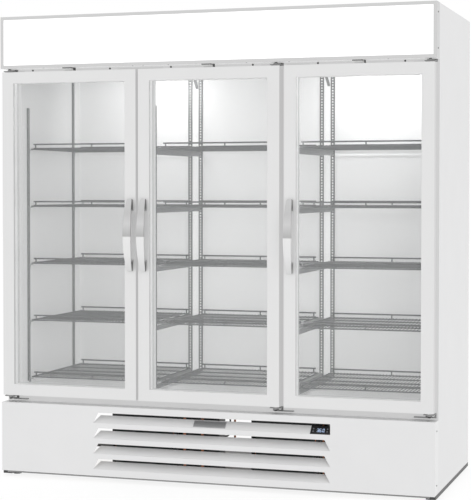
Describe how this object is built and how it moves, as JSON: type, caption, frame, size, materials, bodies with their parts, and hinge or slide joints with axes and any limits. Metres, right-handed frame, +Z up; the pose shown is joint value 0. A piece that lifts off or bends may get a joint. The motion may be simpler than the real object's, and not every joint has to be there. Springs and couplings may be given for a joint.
{
  "type": "reach in refrigerator",
  "caption": "White upright glass-door reach-in refrigerator with side-by-side hinged doors, bowed handles, adjustable wire shelves, a lit header and a louvred base.",
  "frame": {"origin": "middle of the footprint, handles included, on the floor under the levelling feet", "axes": "+X to the right seen from the front, +Y towards the wall behind, +Z up; the doors face -Y"},
  "size_m": [1.908, 0.862, 1.998],
  "materials": {
    "black_steel": "satin",
    "coil": "satin",
    "compressor_black": "satin",
    "controller_black": "satin",
    "copper": "satin",
    "door_white": "satin",
    "fan_black": "matte",
    "fitting_plastic": "satin",
    "foam": "matte",
    "foot_black": "matte",
    "galvanised": "satin",
    "gasket": "matte",
    "glass": "clear",
    "handle_white": "satin",
    "hinge_steel": "brushed",
    "lamp": "glossy",
    "liner_white": "satin",
    "motor": "satin",
    "plate_grey": "satin",
    "shelf_wire": "satin",
    "shell_white": "satin",
    "sign_grey": "satin",
    "sign_white": "satin",
    "strip_grey": "satin"
  },
  "bodies": {
    "cabinet": {"base_frame": "black_steel", "base_grille": "shell_white", "compressors": "compressor_black", "condenser_casings": "fan_black", "condenser_coils": "coil", "condenser_fan_motors": "motor", "door_sensors": "fitting_plastic", "evaporator_coil": "coil", "evaporator_cover": "liner_white", "evaporator_fan_motors": "motor", "front_frame": "strip_grey", "header_housing": "shell_white", "header_trim": "sign_grey", "hinge_brackets": "hinge_steel", "insulation": "foam", "lamps": "lamp", "levelling_feet": "foot_black", "liner": "liner_white", "name_plate": "plate_grey", "rear_panel": "galvanised", "refrigerant_pipes": "copper", "shelf_standards": "hinge_steel", "shelf_supports": "hinge_steel", "side_panel_left": "shell_white", "side_panel_right": "shell_white", "sign_panel": "sign_white", "temperature_controller": "controller_black", "top_panel": "shell_white", "trim_screws": "hinge_steel", "wire_shelf_left_1": "shelf_wire", "wire_shelf_left_2": "shelf_wire", "wire_shelf_left_3": "shelf_wire", "wire_shelf_left_4": "shelf_wire", "wire_shelf_left_5": "shelf_wire", "wire_shelf_middle_1": "shelf_wire", "wire_shelf_middle_2": "shelf_wire", "wire_shelf_middle_3": "shelf_wire", "wire_shelf_middle_4": "shelf_wire", "wire_shelf_middle_5": "shelf_wire", "wire_shelf_right_1": "shelf_wire", "wire_shelf_right_2": "shelf_wire", "wire_shelf_right_3": "shelf_wire", "wire_shelf_right_4": "shelf_wire", "wire_shelf_right_5": "shelf_wire"},
    "door_left": {"door_left_frame": "door_white", "door_left_gasket": "gasket", "door_left_glass_unit": "glass", "door_left_handle": "handle_white"},
    "door_middle": {"door_middle_frame": "door_white", "door_middle_gasket": "gasket", "door_middle_glass_unit": "glass", "door_middle_handle": "handle_white"},
    "door_right": {"door_right_frame": "door_white", "door_right_gasket": "gasket", "door_right_glass_unit": "glass", "door_right_handle": "handle_white"},
    "condenser_fan_left": {"condenser_fan_left": "fan_black"},
    "condenser_fan_right": {"condenser_fan_right": "fan_black"},
    "evaporator_fan_left": {"evaporator_fan_left": "fan_black"},
    "evaporator_fan_right": {"evaporator_fan_right": "fan_black"}
  },
  "joints": [
    {"name": "door_left_hinge", "type": "hinge", "parent": "cabinet", "child": "door_left", "pos_m": [-0.9225, -0.358, 0.3575], "axis": [0, 0, -1], "range_deg": [0, 90], "stiffness_Nm_per_rad": 2, "springref_deg": -11.46},
    {"name": "door_middle_hinge", "type": "hinge", "parent": "cabinet", "child": "door_middle", "pos_m": [0.2835, -0.358, 0.3575], "axis": [0, 0, 1], "range_deg": [0, 90], "stiffness_Nm_per_rad": 2, "springref_deg": -11.46},
    {"name": "door_right_hinge", "type": "hinge", "parent": "cabinet", "child": "door_right", "pos_m": [0.923, -0.358, 0.3575], "axis": [0, 0, 1], "range_deg": [0, 90], "stiffness_Nm_per_rad": 2, "springref_deg": -11.46},
    {"name": "condenser_fan_left_spin", "type": "hinge", "parent": "cabinet", "child": "condenser_fan_left", "pos_m": [-0.3085, -0.25, 0.1685], "axis": [0, 1, 0], "continuous": true},
    {"name": "condenser_fan_right_spin", "type": "hinge", "parent": "cabinet", "child": "condenser_fan_right", "pos_m": [0.315, -0.25, 0.1685], "axis": [0, 1, 0], "continuous": true},
    {"name": "evaporator_fan_left_spin", "type": "hinge", "parent": "cabinet", "child": "evaporator_fan_left", "pos_m": [-0.3, 0.09, 1.863], "axis": [0, 1, 0], "continuous": true},
    {"name": "evaporator_fan_right_spin", "type": "hinge", "parent": "cabinet", "child": "evaporator_fan_right", "pos_m": [0.3, 0.09, 1.863], "axis": [0, 1, 0], "continuous": true}
  ]
}
